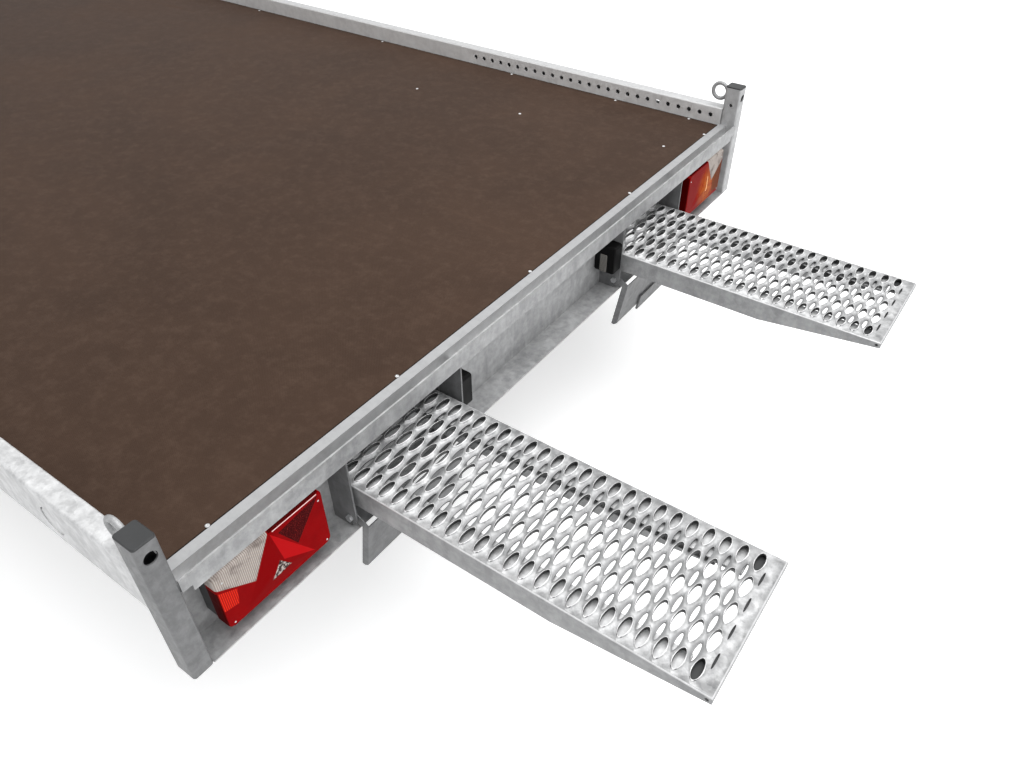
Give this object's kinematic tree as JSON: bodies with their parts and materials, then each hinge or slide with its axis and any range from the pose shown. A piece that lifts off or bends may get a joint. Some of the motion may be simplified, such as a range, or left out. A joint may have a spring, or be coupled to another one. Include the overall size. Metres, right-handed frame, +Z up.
{
  "type": "car transporter trailer",
  "caption": "Flat-deck car transporter trailer with galvanised rails, corner posts, pull-out grating ramps under the deck, tandem wheels and a drawbar with ball coupling and jockey wheel.",
  "frame": {"origin": "on the ground, midway between the left ramp's tip and the coupling's nose, on the centre line", "axes": "+X forward to the coupling, +Y to the trailer's left, +Z up"},
  "size_m": [6.675, 2.14, 0.936],
  "materials": {
    "galvanised": "hot-dip galvanised sheet with soft spangle, dull",
    "zinc": "bright zinc-plated steel",
    "plywood": "brown film-faced plywood with fine grip texture, worn",
    "tyre_rubber": "black rubber",
    "wheel_silver": "silver paint",
    "dark_plastic": "dark grey moulded plastic",
    "red_lens": "glossy red lens plastic",
    "bellows_rubber": "black rubber",
    "dark_metal": "dark grey cast and pressed steel"
  },
  "bodies": {
    "chassis": {"axle_saddles": "zinc", "axle_tubes": "zinc", "bellows": "bellows_rubber", "brake_lever": "dark_metal", "brake_rod": "zinc", "chassis_beams": "galvanised", "corner_posts": "galvanised", "coupling_handle": "zinc", "coupling_head": "dark_metal", "cross_members": "galvanised", "deck_board": "plywood", "draw_tube": "zinc", "drawbar_tubes": "galvanised", "front_beam": "galvanised", "front_rail": "galvanised", "gussets": "galvanised", "hook_rail": "galvanised", "jockey_clamp": "zinc", "jockey_inner_tube": "zinc", "jockey_outer_tube": "zinc", "lamp_housings": "dark_plastic", "lamp_lenses": "red_lens", "overrun_housing": "dark_metal", "pivot_bolts": "zinc", "plate_lamps": "dark_plastic", "post_caps": "dark_plastic", "ramp_guides": "galvanised", "rear_beam": "galvanised", "ring_eyes": "galvanised", "side_beams": "galvanised", "swing_arms": "zinc"},
    "ramp_left": {"ramp_left": "galvanised", "tread_left": "galvanised"},
    "ramp_right": {"ramp_right": "galvanised", "tread_right": "galvanised"},
    "flap_left": {"flap_left": "galvanised"},
    "flap_right": {"flap_right": "galvanised"},
    "jockey_swivel": {"jockey_fork": "zinc"},
    "jockey_roller": {"jockey_rim": "zinc", "jockey_tyre": "tyre_rubber"},
    "wheel_rear_left": {"rim_rear_left": "wheel_silver", "tyre_rear_left": "tyre_rubber"},
    "wheel_rear_right": {"rim_rear_right": "wheel_silver", "tyre_rear_right": "tyre_rubber"},
    "wheel_front_left": {"rim_front_left": "wheel_silver", "tyre_front_left": "tyre_rubber"},
    "wheel_front_right": {"rim_front_right": "wheel_silver", "tyre_front_right": "tyre_rubber"}
  },
  "joints": [
    {"name": "wheel_rear_left_spin", "type": "hinge", "parent": "chassis", "child": "wheel_rear_left", "pos_m": [-0.8125, 0.888, 0.2626], "axis": [0, 1, 0], "continuous": true},
    {"name": "wheel_rear_right_spin", "type": "hinge", "parent": "chassis", "child": "wheel_rear_right", "pos_m": [-0.8125, -0.888, 0.2626], "axis": [0, 1, 0], "continuous": true},
    {"name": "wheel_front_left_spin", "type": "hinge", "parent": "chassis", "child": "wheel_front_left", "pos_m": [-0.1925, 0.888, 0.2626], "axis": [0, 1, 0], "continuous": true},
    {"name": "wheel_front_right_spin", "type": "hinge", "parent": "chassis", "child": "wheel_front_right", "pos_m": [-0.1925, -0.888, 0.2626], "axis": [0, 1, 0], "continuous": true},
    {"name": "ramp_left_slide", "type": "slide", "parent": "chassis", "child": "ramp_left", "axis": [-1, 0, 0], "range_m": [-0.795, 1]},
    {"name": "ramp_right_slide", "type": "slide", "parent": "chassis", "child": "ramp_right", "axis": [-1, 0, 0], "range_m": [-0.745, 1.05]},
    {"name": "flap_left_hinge", "type": "hinge", "parent": "chassis", "child": "flap_left", "pos_m": [-2.5965, 0.512, 0.468], "axis": [0, 1, 0], "range_deg": [0, 28]},
    {"name": "flap_right_hinge", "type": "hinge", "parent": "chassis", "child": "flap_right", "pos_m": [-2.5965, -0.512, 0.468], "axis": [0, 1, 0], "range_deg": [0, 28]},
    {"name": "jockey_swivel_turn", "type": "hinge", "parent": "chassis", "child": "jockey_swivel", "pos_m": [2.5375, -0.1948, 0.25], "axis": [0, 0, 1], "continuous": true},
    {"name": "jockey_wheel_spin", "type": "hinge", "parent": "jockey_swivel", "child": "jockey_roller", "pos_m": [2.4925, -0.1948, 0.11], "axis": [0, 1, 0], "continuous": true}
  ]
}
